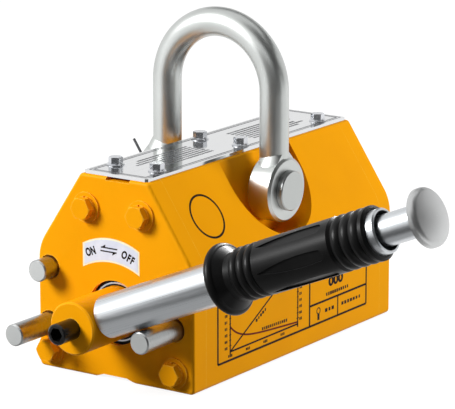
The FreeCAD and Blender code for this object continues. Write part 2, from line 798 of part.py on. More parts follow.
def make_knob():
    """Mushroom knob: flared underside, thin rim, round shoulder and low crown, bored for the bar's spigot."""
    rim = f"{KNOB_BASE} + knob_flare"
    crest = f"{rim} + knob_rim"
    flat = "(knob_diameter / 2 - knob_shoulder)"
    crown = f"(({flat} ^ 2 + knob_dome ^ 2 - knob_shoulder ^ 2) / (2 * (knob_dome - knob_shoulder)))"
    meet = f"{crest} + knob_dome - {crown} * (knob_dome - knob_shoulder) / ({crown} - knob_shoulder)"
    bed = f"{KNOB_BASE} + knob_seat_depth"
    return about_handle("bar_knob", [
        (KNOB_BASE, "knob_spigot / 2"), (KNOB_BASE, "bar_diameter / 2"),
        (rim, "knob_diameter / 2"), (crest, "knob_diameter / 2", "-knob_shoulder"),
        (meet, f"{crown} * {flat} / ({crown} - knob_shoulder)", f"-{crown}"),
        (f"{crest} + knob_dome", "0"), (bed, "0"), (bed, "knob_spigot / 2"),
    ])


def make_spring_seat():
    return about_handle("spring_seat", ring_profile(
        SPRING_SEAT, f"{SPRING_SEAT} + spring_seat_thickness",
        "bar_diameter / 2", f"{TUBE_BORE} - tube_gap"))


def make_return_spring():
    """Coil between the outer guide and the seat on the bar, wound from half turns that lean both ways."""
    start = f"({OUTER_GUIDE} + outer_guide_length + spring_wire / 2 + tube_gap)"
    end = f"({SPRING_SEAT} - spring_wire / 2 - tube_gap)"
    rise = f"(({end} - {start}) / (2 * spring_turns))"
    mean = f"((bar_diameter / 2 + {TUBE_BORE}) / 2)"
    lean = f"atan({rise} / (2 * {mean}))"
    upright = "rotation(vector(1; 1; 1); -120)"
    halves = []
    for number in range(int(value("2 * spring_turns"))):
        half = add("Part::Torus", f"spring_half_turn_{number}")
        half.Angle3 = 180
        bind(half, Radius1=f"sqrt({mean} ^ 2 + ({rise} / 2) ^ 2)", Radius2="spring_wire / 2")
        if number % 2:
            spin = f"rotation(vector(1; 0; 0); {lean}) * rotation(vector(0; 0; 1); 180) * {upright}"
        else:
            spin = f"rotation(vector(-1; 0; 0); {lean}) * {upright}"
        middle = f"-({start} + {number + 0.5} * {rise})"
        half.setExpression("Placement", expr(f"placement(vector(0; {middle}; 0); {spin})"))
        halves.append(half)
    coil = add("App::Link", "return_spring_turned")
    coil.LinkedObject = fused("spring_coil", halves)
    coil.Label = "return_spring"
    return on_rotor(coil, x=HANDLE_X)


# Handle sleeve: tube, guides and grip slide along the bar
def make_sleeve():
    outer = "tube_diameter / 2"
    guide_bore = "bar_diameter / 2 + running_clearance"
    tube = about_handle("handle_tube", [
        (TUBE_START, TUBE_BORE), (TUBE_START, outer), (f"{TUBE_END} - tube_chamfer", outer),
        (TUBE_END, f"{outer} - tube_chamfer"), (TUBE_END, TUBE_BORE),
    ])
    inner_guide = about_handle("inner_guide", ring_profile(
        TUBE_START, f"{TUBE_START} + inner_guide_length", guide_bore, TUBE_BORE))
    outer_guide = about_handle("outer_guide", ring_profile(
        OUTER_GUIDE, f"{OUTER_GUIDE} + outer_guide_length", guide_bore, TUBE_BORE))
    return [tube, inner_guide, outer_guide]


def grip_rings(start, pitch, count, root):
    """Profile points of round rings between narrow furrows."""
    numbers = range(int(value(count)))
    swell = f"(({pitch}) ^ 2 / (8 * grip_ring_height) + grip_ring_height / 2)"
    return [(f"{start} + {number} * {pitch}", root, f"-{swell}") for number in numbers]


def make_grip():
    """Rubber grip: round-edged flange, dished neck, rings, fluted body, rings and an end lip."""
    full = "grip_diameter / 2"
    root = f"({full} - grip_ring_height)"
    flange_end = f"{GRIP_START} + grip_flange_thickness"
    rim = "(grip_flange / 2 - grip_flange_thickness / 2)"
    neck = f"{flange_end} + grip_neck_length / 2"
    front = f"({flange_end} + grip_neck_length)"
    shoulder = f"({front} + grip_front_rings * grip_front_ring)"
    lip = f"({GRIP_END} - grip_end_lip)"
    tail = f"({lip} - grip_rear_rings * grip_rear_ring)"
    points = [
        (GRIP_START, "tube_diameter / 2"), (GRIP_START, rim, "-grip_flange_thickness * half_round"),
        (flange_end, rim), (neck, "grip_neck / 2"), (front, "grip_neck / 2"),
        *grip_rings(front, "grip_front_ring", "grip_front_rings", root),
        (shoulder, root), (f"{shoulder} + grip_ring_height", full), (f"{tail} - grip_ring_height", full),
        *grip_rings(tail, "grip_rear_ring", "grip_rear_rings", root),
        (lip, root), (f"{lip} + grip_ring_height", full), (f"{GRIP_END} - grip_ring_height / 2", full),
        (GRIP_END, root), (GRIP_END, "tube_diameter / 2"),
    ]
    grip = about_handle("grip", points)
    cut_flutes(grip)
    turn = f"rotation(vector(-1; 0; 0); {OFF_ANGLE}) * rotation(vector(0; 1; 0); grip_flute_turn)"
    grip.setExpression("Placement", expr(f"placement(vector({HANDLE_X}; 0; rotor_height); {turn})"))
    return grip


def cut_flutes(grip):
    """Shallow teardrop flutes round the grip, pointed towards the hub."""
    doc.recompute()
    tip = f"({GRIP_START} + grip_flute_start)"
    side = "grip_flute_width / 2"
    bend = f"({tip} + grip_flute_length - grip_flute_width * flute_nose)"
    sketch = new_sketch(grip, "YZ_Plane", "grip_flute_outline")
    floor = "grip_diameter / 2 - grip_flute_depth"
    shift = f"placement(vector(0; 0; -({floor})); rotation(vector(0; 0; 1); 0))"
    sketch.setExpression("AttachmentOffset", expr(shift))
    draw(sketch, [
        (f"-{tip}", "0", "flute_sweep * grip_flute_length"),
        (f"-{bend}", side, "grip_flute_width * flute_bend"),
        (f"-{bend}", f"-{side}", "flute_sweep * grip_flute_length"),
    ])
    flute = grip.newObject("PartDesign::Pocket", "grip_flute")
    flute.Profile = sketch
    flute.Type = "ThroughAll"
    ring = grip.newObject("PartDesign::PolarPattern", "grip_flute_ring")
    ring.Originals = [flute]
    axis = next(f for f in grip.Origin.OriginFeatures if f.Role == "Y_Axis")
    ring.Axis = (axis, [""])
    ring.Angle = 360
    bind(ring, Occurrences="grip_flutes")
    grip.Tip = ring


# Top plate
PLATE_BOLTS = [
    (x, f"{side}plate_bolt_across / 2")
    for x in ("-plate_bolt_pitch", "0", "plate_bolt_pitch") for side in ("-", "")
]


def make_plate():
    plate = new_body("plate_blank")
    half = ("plate_length / 2", "plate_width / 2")
    padded(plate, "XY_Plane", [
        (f"-{half[0]}", f"-{half[1]}"), (half[0], f"-{half[1]}"), half, (f"-{half[0]}", half[1]),
    ], "plate_thickness")
    rounded(plate, "plate_corner", lambda edge: edge.BoundBox.ZLength > value("plate_thickness") - 0.01)
    place(plate, z="body_height")
    holes = [
        cylinder("plate_hole", "plate_bolt_diameter / 2", "plate_thickness + 2 * overcut",
                 x=x, y=y, z="body_height - overcut")
        for x, y in PLATE_BOLTS
    ]
    return cut("top_plate", plate, holes)


def make_plate_bolts():
    """Hex flange bolts: seat at z = 0, shank downwards."""
    bolt = new_body("plate_bolt")
    padded(bolt, "XY_Plane", hexagon("plate_bolt_head_across"),
           "plate_bolt_flange_thickness + plate_bolt_head_height")
    end = "-plate_thickness - plate_bolt_grip"
    turned(bolt, [
        ("0", end), ("plate_bolt_diameter / 2", end), ("plate_bolt_diameter / 2", "0"),
        ("plate_bolt_flange / 2", "0"), ("plate_bolt_flange / 2", "plate_bolt_flange_thickness / 2"),
        ("plate_bolt_head_across / 2", "plate_bolt_flange_thickness * plate_bolt_flange_slope"),
        ("0", "plate_bolt_flange_thickness"),
    ], "V_Axis", "XZ_Plane")
    top = "plate_bolt_flange_thickness + plate_bolt_head_height"
    crown(bolt, "plate_bolt_head_across", top, "V_Axis", "XZ_Plane", lambda s, r: (r, s))
    seats = [dict(x=x, y=y, z="body_height + plate_thickness") for x, y in PLATE_BOLTS]
    return copies("top_plate_bolts", bolt, seats)


# Shackle and its pin
def shackle_neck(sign):
    """Shoulders that slope from an eye up into its leg, thinner than the eye."""
    across = f"{sign}(eye_inner + eye_thickness / 2)"
    low = f"({SHACKLE_AXIS} + neck_base)"
    cone = bind(
        add("Part::Cone", "neck_cone"),
        Radius1="sqrt((eye_diameter / 2) ^ 2 - neck_base ^ 2) - neck_sink",
        Radius2="shackle_bar / 2 - neck_sink",
        Height="neck_rise",
    )
    place(cone, y=across, z=low)
    half = "(eye_thickness / 2 - eye_chamfer)"
    slab = box("neck_slab", ("-eye_diameter", f"{across} - {half}", low),
               ("eye_diameter", f"{across} + {half}", f"{low} + neck_rise"))
    neck = add("Part::Common", "shackle_neck")
    neck.Base = cone
    neck.Tool = slab
    return neck


def make_shackle():
    leg = "(shackle_width / 2)"
    bend = f"(shackle_rise - {leg})"
    eyes = []
    for name, sign, inward in (("near_eye", "-", "+"), ("far_eye", "", "-")):
        eye = new_body(name)
        low = f"{sign}eye_inner"
        high = f"{sign}{EYE_OUTER}"
        outward = "-" if inward == "+" else "+"
        rim = "eye_diameter / 2"
        turned(eye, [
            ("0", low), (f"{rim} - eye_chamfer", low), (rim, f"{low} {outward} eye_chamfer"),
            (rim, f"{high} {inward} eye_chamfer"), (f"{rim} - eye_chamfer", high), ("0", high),
        ], "V_Axis")
        eyes.append(place(eye, z=SHACKLE_AXIS))
    legs = [
        cylinder("shackle_leg", "shackle_bar / 2", bend, y=f"{sign}{leg}", z=SHACKLE_AXIS)
        for sign in ("-", "")
    ]
    bow = bind(add("Part::Torus", "shackle_bow"), Radius1=leg, Radius2="shackle_bar / 2")
    bow.Angle3 = 180
    place(bow, z=f"{SHACKLE_AXIS} + {bend}", axis="1; 1; 1", angle="120")
    necks = [shackle_neck(sign) for sign in ("-", "")]
    whole = fused("shackle_whole", [*eyes, *necks, *legs, bow])
    bore = cylinder("eye_bore", "shackle_pin_diameter / 2 + eye_clearance", "2 * body_width",
                    y="-body_width", z=SHACKLE_AXIS, along="Y")
    return cut("shackle", whole, [bore])


def make_shackle_pin():
    body = new_body("pin_blank")
    tail = f"({SPLIT_PIN_Y} + shackle_pin_tail)"
    head = "pin_head_diameter / 2"
    shank = "shackle_pin_diameter / 2"
    turned(body, [
        ("0", f"-{WASHER_FACE} - pin_head_thickness"),
        (f"{head} - pin_head_chamfer", f"-{WASHER_FACE} - pin_head_thickness"),
        (head, f"-{WASHER_FACE} - pin_head_thickness + pin_head_chamfer"), (head, f"-{WASHER_FACE}"),
        (shank, f"-{WASHER_FACE}"), (shank, f"{tail} - pin_chamfer"),
        (f"{shank} - pin_chamfer", tail), ("0", tail),
    ], "V_Axis")
    place(body, z=SHACKLE_AXIS)
    hole = cylinder("split_pin_hole", "split_pin_wire / 2", "2 * shackle_pin_diameter",
                    y=SPLIT_PIN_Y, z=f"{SHACKLE_AXIS} - shackle_pin_diameter")
    return cut("shackle_pin", body, [hole])


def make_pin_washers():
    washers = []
    for label, seat in (
        ("pin_head_washer", f"-{WASHER_FACE}"),
        ("pin_end_washer", f"{WASHER_FACE} - pin_washer_thickness"),
    ):
        body = new_body(label)
        turned(body, [
            ("shackle_pin_diameter / 2", "0"), ("pin_head_diameter / 2", "0"),
            ("pin_head_diameter / 2", "pin_washer_thickness"),
            ("shackle_pin_diameter / 2", "pin_washer_thickness"),
        ], "V_Axis")
        washers.append(place(body, y=seat, z=SHACKLE_AXIS))
    return washers


def make_split_pin():
    """Split pin: eye below the shackle pin, legs spread above it."""
    wire = "split_pin_wire / 2"
    top = f"{SHACKLE_AXIS} + shackle_pin_diameter / 2"
    foot = f"{SHACKLE_AXIS} - shackle_pin_diameter / 2 - split_pin_wire"
    shank = cylinder("split_pin_shank", wire, f"{top} + split_pin_wire / 2 - ({foot})", y=SPLIT_PIN_Y, z=foot)
    legs = []
    for name, sign in (("split_pin_inner_leg", "-"), ("split_pin_outer_leg", "")):
        leg = bind(add("Part::Cylinder", name), Radius="split_pin_wire / 4", Height="split_pin_leg")
        axis = "1; 0; 0" if sign else "-1; 0; 0"
        y = f"{SPLIT_PIN_Y} + {sign}split_pin_wire / 4"
        legs.append(place(leg, "0", y, top, axis, "split_pin_spread"))
    eye = add("Part::Torus", "split_pin_loop")
    bind(eye, Radius1="split_pin_eye / 2", Radius2="split_pin_wire / 4")
    place(eye, y=SPLIT_PIN_Y, z=f"{foot} - split_pin_eye / 2", axis="0; 1; 0", angle="90")
    joined = fused("split_pin_joined", [shank, *legs, eye])
    joined.Label = "split_pin"
    return joined


def all_parts():
    parts = make_pole_blocks()
    parts += [make_pole_spacer(), make_fixed_magnets(), make_pin_sleeve()]
    parts += [make_front_cover(), make_rear_cover(), *make_cover_bolts(), *make_cover_washers()]
    parts += [*make_pins(), *make_bushes_and_seal()]
    parts += [make_plate(), make_plate_bolts()]
    parts += [make_shackle(), make_shackle_pin(), *make_pin_washers(), make_split_pin()]
    parts += make_rotor()
    parts += [make_bar(), make_set_screw(), make_knob(), make_spring_seat(), make_return_spring()]
    parts += [*make_sleeve(), make_grip()]
    return parts


PARTS = all_parts()
doc.recompute()

faults = [f"{item.Label}: {item.State}" for item in doc.Objects if {"Invalid", "Error"} & set(item.State)]
shapes = {part.Label: Part.getShape(part) for part in PARTS}
for label, shape in shapes.items():
    if shape.isNull() or not shape.isValid() or not shape.Solids:
        faults.append(f"{label}: no valid solid")
if faults:
    raise RuntimeError("; ".join(faults))

os.makedirs("parts", exist_ok=True)
for label, shape in shapes.items():
    shape.exportStep(os.path.join("parts", f"{label}.step"))
    print(f"{label}: {len(shape.Solids)} solid(s), {shape.Volume / 1000:.2f} cm3")
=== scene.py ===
import json
import math

import bmesh
import bpy
from mathutils import Matrix, Vector


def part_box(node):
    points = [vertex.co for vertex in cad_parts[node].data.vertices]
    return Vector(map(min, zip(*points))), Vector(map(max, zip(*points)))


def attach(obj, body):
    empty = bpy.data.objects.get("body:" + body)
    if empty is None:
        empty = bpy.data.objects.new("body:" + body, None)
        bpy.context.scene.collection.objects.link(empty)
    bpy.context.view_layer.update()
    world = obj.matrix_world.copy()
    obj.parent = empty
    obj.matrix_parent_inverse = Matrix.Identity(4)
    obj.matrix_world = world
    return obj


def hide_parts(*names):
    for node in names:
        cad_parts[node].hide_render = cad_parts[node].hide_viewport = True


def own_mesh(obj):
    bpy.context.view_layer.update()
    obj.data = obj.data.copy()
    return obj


# Permanent magnetic lifter: finishes, printed marks, floor, light and camera.
# Metres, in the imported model's frame: X along the rotor axis with the front cover at -X, Z up,
# and the side where the handle rests at -Y.

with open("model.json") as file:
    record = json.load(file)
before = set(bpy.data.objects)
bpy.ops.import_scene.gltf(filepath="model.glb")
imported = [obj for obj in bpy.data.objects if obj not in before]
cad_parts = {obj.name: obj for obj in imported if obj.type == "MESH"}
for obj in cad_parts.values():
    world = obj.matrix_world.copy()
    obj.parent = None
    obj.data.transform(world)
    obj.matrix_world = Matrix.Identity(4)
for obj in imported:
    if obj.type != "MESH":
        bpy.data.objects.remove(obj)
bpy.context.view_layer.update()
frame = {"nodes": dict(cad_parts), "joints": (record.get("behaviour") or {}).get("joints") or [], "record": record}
NODES = frame["nodes"]
JOINTS = {joint["name"]: joint for joint in frame["joints"]}
MM = 0.001

ROTOR_AXIS = Vector(JOINTS["handle_turn"]["pos_m"])
HANDLE_AXIS = Vector(JOINTS["sleeve_slide"]["axis"])
COVER_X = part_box("front_cover")[0].x
SIDE_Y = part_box("near_pole_block")[0].y
PLATE_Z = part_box("top_plate")[1].z

# How far printed film and ink stand above the surface and reach into it
PROUD = 0.08 * MM
SUNK = 0.04 * MM


def srgb(red, green, blue):
    """Linear colour of a screen colour given in 0 to 255."""
    parts = [part / 255 for part in (red, green, blue)]
    linear = [p / 12.92 if p <= 0.04045 else ((p + 0.055) / 1.055) ** 2.4 for p in parts]
    return (*linear, 1.0)


def add_object(name, data):
    """New object in the scene, at the origin."""
    item = bpy.data.objects.new(name, data)
    bpy.context.scene.collection.objects.link(item)
    return item


def new_material(name):
    """Material and its node tree, still empty."""
    material = bpy.data.materials.new(name)
    material.use_nodes = True
    material.node_tree.nodes.clear()
    return material, material.node_tree


# Shader building blocks
def add_node(tree, kind, inputs=None, **settings):
    """New node; an input is given as a value or as the socket that feeds it."""
    item = tree.nodes.new(kind)
    for name, setting in settings.items():
        setattr(item, name, setting)
    for name, source in (inputs or {}).items():
        if isinstance(source, bpy.types.NodeSocket):
            tree.links.new(source, item.inputs[name])
        else:
            item.inputs[name].default_value = source
    return item


def math_node(tree, operation, first, second=0.0, clamp=False):
    """Result of an operation on one or two values."""
    item = add_node(tree, "ShaderNodeMath", {0: first, 1: second}, operation=operation, use_clamp=clamp)
    return item.outputs[0]


def stretch(tree, value, low, high, to_low=0.0, to_high=1.0):
    """Value mapped from one span to another."""
    item = add_node(tree, "ShaderNodeMapRange", {
        "Value": value, "From Min": low, "From Max": high, "To Min": to_low, "To Max": to_high,
    })
    return item.outputs["Result"]


def mix_colours(tree, mask, first, second):
    """First colour where the mask is 0, second where it is 1."""
    item = add_node(tree, "ShaderNodeMix", {0: mask, 6: first, 7: second}, data_type="RGBA")
    return item.outputs[2]


def new_group(name, inputs, outputs):
    """Shader group with named sockets; an input whose first value is a tuple is a vector."""
    group = bpy.data.node_groups.new(name, "ShaderNodeTree")
    for label, first in inputs.items():
        kind = "NodeSocketVector" if isinstance(first, tuple) else "NodeSocketFloat"
        socket = group.interface.new_socket(label, in_out="INPUT", socket_type=kind)
        socket.default_value = first
    for label in outputs:
        group.interface.new_socket(label, in_out="OUTPUT", socket_type="NodeSocketFloat")
    entry = group.nodes.new("NodeGroupInput")
    leave = group.nodes.new("NodeGroupOutput")
    return group, entry.outputs, leave.inputs


def grain_group():
    """Fine grain for bump and broad clouds for tone."""
    group, given, result = new_group("surface_grain", {"Fine": 900.0, "Broad": 15.0}, ["Tone", "Height"])
    place = add_node(group, "ShaderNodeTexCoord").outputs["Object"]
    fine = add_node(group, "ShaderNodeTexNoise", {"Vector": place, "Scale": given["Fine"], "Detail": 3.0})
    broad = add_node(group, "ShaderNodeTexNoise", {"Vector": place, "Scale": given["Broad"], "Detail": 4.0})
    group.links.new(stretch(group, broad.outputs[0], 0.3, 0.7), result["Tone"])
    group.links.new(fine.outputs[0], result["Height"])
    return group


def edge_wear_and_highlight_group():
    """Mask of the outer edges, broken up by a fine noise; the pale edges it gives are wear and, on the yellow
    paint, a painted highlight.
    """
    group, given, result = new_group(
        "edge_wear_and_highlight", {"Width": 0.6 * MM, "Breakup": 260.0, "Reach": 0.06}, ["Mask"])
    place = add_node(group, "ShaderNodeTexCoord").outputs["Object"]
    soft = add_node(group, "ShaderNodeBevel", {"Radius": given["Width"]}, samples=4)
    true = add_node(group, "ShaderNodeNewGeometry").outputs["True Normal"]
    turn = add_node(group, "ShaderNodeVectorMath", {0: soft.outputs[0], 1: true}, operation="DOT_PRODUCT")
    bend = math_node(group, "SUBTRACT", 1.0, turn.outputs["Value"])
    noise = add_node(group, "ShaderNodeTexNoise",
                     {"Vector": place, "Scale": given["Breakup"], "Detail": 4.0})
    patchy = math_node(group, "MULTIPLY", bend, stretch(group, noise.outputs[0], 0.35, 0.65, 0.2, 1.0))
    group.links.new(math_node(group, "DIVIDE", patchy, given["Reach"], clamp=True), result["Mask"])
    return group


def lathe_group():
    """Rings left by turning about the local Z axis; the faced ends are rougher than the turned sides."""
    group, given, result = new_group(
        "lathe_rings", {"Place": (0.0, 0.0, 0.0), "Axis": (0.0, 0.0, 1.0), "Fineness": 2500.0},
        ["Tone", "Height"])
    parts = add_node(group, "ShaderNodeSeparateXYZ", {0: given["Place"]}).outputs
    flat = add_node(group, "ShaderNodeCombineXYZ", {0: parts[0], 1: parts[1]}).outputs[0]
    radius = add_node(group, "ShaderNodeVectorMath", {0: flat}, operation="LENGTH").outputs["Value"]
    along = math_node(group, "MULTIPLY", math_node(group, "ADD", radius, parts[2]), given["Fineness"])
    rings = add_node(group, "ShaderNodeTexNoise", {"W": along, "Scale": 1.0, "Detail": 3.0},
                     noise_dimensions="1D")
    facing = add_node(group, "ShaderNodeTexCoord").outputs["Normal"]
    turn = add_node(group, "ShaderNodeVectorMath", {0: facing, 1: given["Axis"]}, operation="DOT_PRODUCT")
    end = stretch(group, math_node(group, "ABSOLUTE", turn.outputs["Value"]), 0.8, 1.0, 0.0, 0.6)
    tone = math_node(group, "ADD", stretch(group, rings.outputs[0], 0.25, 0.75, 0.0, 0.4), end)
    group.links.new(tone, result["Tone"])
    group.links.new(rings.outputs[0], result["Height"])
    return group


def drawn_group():
    """Long fine lines along the local Z axis, left by drawing or brushing."""
    group, given, result = new_group(
        "drawn_lines", {"Place": (0.0, 0.0, 0.0), "Fineness": 1800.0, "Length": 14.0}, ["Tone", "Height"])
    scale = add_node(group, "ShaderNodeCombineXYZ",
                     {0: given["Fineness"], 1: given["Fineness"], 2: given["Length"]}).outputs[0]
    long = add_node(group, "ShaderNodeVectorMath", {0: given["Place"], 1: scale}, operation="MULTIPLY")
    lines = add_node(group, "ShaderNodeTexNoise", {"Vector": long.outputs[0], "Scale": 1.0, "Detail": 2.0})
    group.links.new(stretch(group, lines.outputs[0], 0.3, 0.7), result["Tone"])
    group.links.new(lines.outputs[0], result["Height"])
    return group


GRAIN = grain_group()
EDGE_WEAR_AND_HIGHLIGHT = edge_wear_and_highlight_group()
LATHE = lathe_group()
DRAWN = drawn_group()


# Patterns: each gives the tone and height sockets of a group placed in a material
def grain(fine, broad):
    """Even grain with broad clouds."""
    def pattern(tree):
        return add_node(tree, "ShaderNodeGroup", {"Fine": fine, "Broad": broad}, node_tree=GRAIN).outputs
    return pattern


def local_place(tree, centre, axis):
    """Coordinates about a piece's own axis, which becomes Z."""
    turn = Vector(axis).to_track_quat("Z", "Y").to_euler()
    place = add_node(tree, "ShaderNodeTexCoord").outputs["Object"]
    return add_node(tree, "ShaderNodeMapping", {
        "Vector": place, "Location": centre, "Rotation": turn,
    }, vector_type="TEXTURE").outputs[0]


def lathe(centre, axis, fineness):
    """Turning rings about an axis."""
    def pattern(tree):
        place = local_place(tree, centre, axis)
        return add_node(tree, "ShaderNodeGroup", {"Place": place, "Axis": axis, "Fineness": fineness},
                        node_tree=LATHE).outputs
    return pattern


def drawn(centre, axis, fineness, length):
    """Fine lines along an axis."""
    def pattern(tree):
        place = local_place(tree, centre, axis)
        return add_node(tree, "ShaderNodeGroup", {"Place": place, "Fineness": fineness, "Length": length},
                        node_tree=DRAWN).outputs
    return pattern


def finished(name, pattern, dark, light, rough, bump, wear_and_highlight=None, **fixed):
    """Material from a pattern: tone sets colour and roughness, height sets bump; wear_and_highlight is the shade,
    width and reach of pale edges, which are worn edges and, on the yellow paint, a painted highlight."""
    material, tree = new_material(name)
    marks = pattern(tree)
    colour = mix_colours(tree, marks["Tone"], dark, light)
    # Pale edges: wear, and on the yellow paint a painted edge highlight.
    if wear_and_highlight:
        shade, width, reach = wear_and_highlight
        worn_lit_edges = add_node(tree, "ShaderNodeGroup", {"Width": width, "Reach": reach}, node_tree=EDGE_WEAR_AND_HIGHLIGHT)
        colour = mix_colours(tree, worn_lit_edges.outputs["Mask"], colour, shade)
    relief = add_node(tree, "ShaderNodeBump", {"Strength": 1.0, "Distance": bump, "Height": marks["Height"]})
    shader = add_node(tree, "ShaderNodeBsdfPrincipled", {
        "Base Color": colour,
        "Roughness": stretch(tree, marks["Tone"], 0.0, 1.0, *rough),
        "Normal": relief.outputs[0],
    })
    for label, number in fixed.items():
        shader.inputs[label.replace("_", " ")].default_value = number
    add_node(tree, "ShaderNodeOutputMaterial", {"Surface": shader.outputs[0]})
    return material


# Finishes
def yellow_paint(name, wear_and_highlight=None):
    """Stoved yellow paint over steel, with a slight orange peel."""
    return finished(
        name, grain(fine=700, broad=14), dark=srgb(242, 160, 4), light=srgb(250, 168, 8),
        rough=(0.36, 0.46), bump=0.010 * MM, wear_and_highlight=wear_and_highlight, Specular_IOR_Level=0.05)


def forged_steel():
    """Shackle: blasted and polished forged steel."""
    return finished(
        "forged_steel", grain(fine=1300, broad=22), dark=srgb(188, 191, 189), light=srgb(198, 201, 199),
        rough=(0.31, 0.38), bump=0.003 * MM, Metallic=1.0)


def turned_steel(name, centre, axis, end):
    """Bright turned steel with lathe rings about its own axis and faced ends."""
    return finished(
        f"turned_steel_{name}", lathe(centre, axis, fineness=3200), dark=srgb(160, 162, 162), light=end,
        rough=(0.24, 0.60), bump=0.003 * MM, Metallic=1.0)


def satin_steel(centre):
    """Knob: turned steel brushed to a satin."""
    return finished(
        "satin_steel", lathe(centre, HANDLE_AXIS, fineness=3200),
        dark=srgb(204, 205, 205), light=srgb(220, 221, 221),
        rough=(0.40, 0.52), bump=0.002 * MM, Metallic=1.0)


def drawn_steel(name, centre):
    """Bright drawn bar and tube with fine lines along the handle."""
    return finished(
        f"drawn_steel_{name}", drawn(centre, HANDLE_AXIS, fineness=2200, length=10),
        dark=srgb(196, 200, 203), light=srgb(208, 211, 214),
        rough=(0.27, 0.35), bump=0.002 * MM, Metallic=1.0)


def polished_plate():
    """Mirror-polished aluminium sheet with faint rolling lines along its length."""
    return finished(
        "polished_plate", drawn((0, 0, PLATE_Z), (1, 0, 0), fineness=2600, length=8),
        dark=srgb(206, 207, 208), light=srgb(220, 221, 222),
        rough=(0.06, 0.12), bump=0.001 * MM, Metallic=1.0)


def zinc_bolts():
    """Bright zinc plating, faintly blotched."""
    return finished(
        "zinc_plating", grain(fine=1800, broad=120), dark=srgb(196, 198, 202), light=srgb(214, 216, 220),
        rough=(0.22, 0.32), bump=0.001 * MM, Metallic=1.0)


def black_rubber():
    """Moulded rubber with a fine matt grain."""
    return finished(
        "black_rubber", grain(fine=2600, broad=60), dark=srgb(17, 17, 17), light=srgb(23, 23, 23),
        rough=(0.30, 0.38), bump=0.008 * MM, wear_and_highlight=(srgb(46, 46, 47), 0.7 * MM, 0.6),
        Specular_IOR_Level=0.14)


def black_steel():
    """Blackened steel with an oily sheen."""
    return finished(
        "black_steel", grain(fine=2200, broad=120), dark=srgb(8, 8, 9), light=srgb(15, 15, 16),
        rough=(0.16, 0.26), bump=0.003 * MM, wear_and_highlight=(srgb(80, 80, 82), 0.3 * MM, 0.6),
        Specular_IOR_Level=0.4)


def inner_steel():
    """Machined steel inside the block."""
    return finished(
        "inner_steel", grain(fine=1600, broad=50), dark=srgb(140, 141, 142), light=srgb(172, 173, 174),
        rough=(0.30, 0.44), bump=0.01 * MM, Metallic=1.0)


def magnet_plating():
    """Nickel plating on the magnet blocks."""
    return finished(
        "magnet_plating", grain(fine=1200, broad=35), dark=srgb(150, 148, 142), light=srgb(178, 176, 170),
        rough=(0.26, 0.38), bump=0.008 * MM, Metallic=1.0)


def bronze():
    """Bearing bronze and brass."""
    return finished(
        "bronze", grain(fine=1500, broad=60), dark=srgb(168, 128, 70), light=srgb(200, 160, 96),
        rough=(0.28, 0.42), bump=0.008 * MM, Metallic=1.0)


def spring_steel():
    """Oiled spring wire."""
    return finished(
        "spring_steel", grain(fine=2400, broad=90), dark=srgb(78, 79, 82), light=srgb(112, 113, 116),
        rough=(0.26, 0.38), bump=0.006 * MM, Metallic=1.0)


def printed(name, dark, light):
    """Ink or printed film with a faint unevenness."""
    return finished(
        name, grain(fine=2500, broad=120), dark, light,
        rough=(0.42, 0.56), bump=0.004 * MM, Specular_IOR_Level=0.1)


def centre_of(node):
    """Middle of a node's box."""
    low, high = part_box(node)
    return (low + high) / 2


def closing_spring():
    """Return spring: a copy of the imported spring with its doubled points merged, carried by the sleeve."""
    shape = bmesh.new()
    shape.from_mesh(NODES["return_spring"].data)
    bmesh.ops.remove_doubles(shape, verts=shape.verts, dist=0.001 * MM)
    mesh = bpy.data.meshes.new("closing_spring")
    shape.to_mesh(mesh)
    shape.free()
    mesh.materials.append(NODES["return_spring"].data.materials[0])
    piece = add_object("closing_spring", mesh)
    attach(piece, "sleeve")
    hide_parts("return_spring")
    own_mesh(piece)


def dress_nodes():
    """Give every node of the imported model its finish; return the finishes by slot."""
    slots = {
        # The yellow paint's pale edges are partly wear and partly a painted highlight along every edge.
        "yellow_paint": yellow_paint("yellow_paint", wear_and_highlight=(srgb(255, 208, 92), 0.8 * MM, 0.22)),
        "forged_steel": forged_steel(),
        "polished_plate": polished_plate(),
        "zinc_bolts": zinc_bolts(),
        "black_rubber": black_rubber(),
        "black_steel": black_steel(),
        "core_steel": inner_steel(),
        "magnet": magnet_plating(),
        "bronze": bronze(),
        "spring_steel": spring_steel(),
    }
    along_x = (1, 0, 0)
    along_y = (0, 1, 0)
    on_handle = centre_of("handle_tube")
    own = {
        "handle_tube": drawn_steel("tube", on_handle),
        "handle_bar": drawn_steel("bar", on_handle),
        "bar_knob": satin_steel(on_handle),
    }
    for node in ("off_stop_pin", "on_stop_pin", "lock_pin"):
        own[node] = turned_steel(node, centre_of(node), along_x, srgb(197, 199, 198))
    for node in ("shackle_pin", "pin_head_washer", "pin_end_washer"):
        own[node] = turned_steel(node, centre_of(node), along_y, srgb(206, 209, 207))
    own["split_pin"] = slots["spring_steel"]
    own["near_pole_block"] = own["far_pole_block"] = yellow_paint("block_paint")
    for row in frame["record"]["subparts"]:
        material = own.get(row["node"]) or slots[row["material_slot"]]
        carrier = NODES[row["node"]]
        carrier.data.materials.clear()
        carrier.data.materials.append(material)
    return slots


# Printed marks: flat shapes drawn in a panel's own right and up directions, then laid on the panel
def panel(origin, right, up):
    """Placing of a flat drawing: where its origin lies and which ways its right and up point."""
    right, up = Vector(right), Vector(up).normalized()
    turn = Matrix((right, up, right.cross(up))).transposed().to_4x4()
    return Matrix.Translation(origin) @ turn


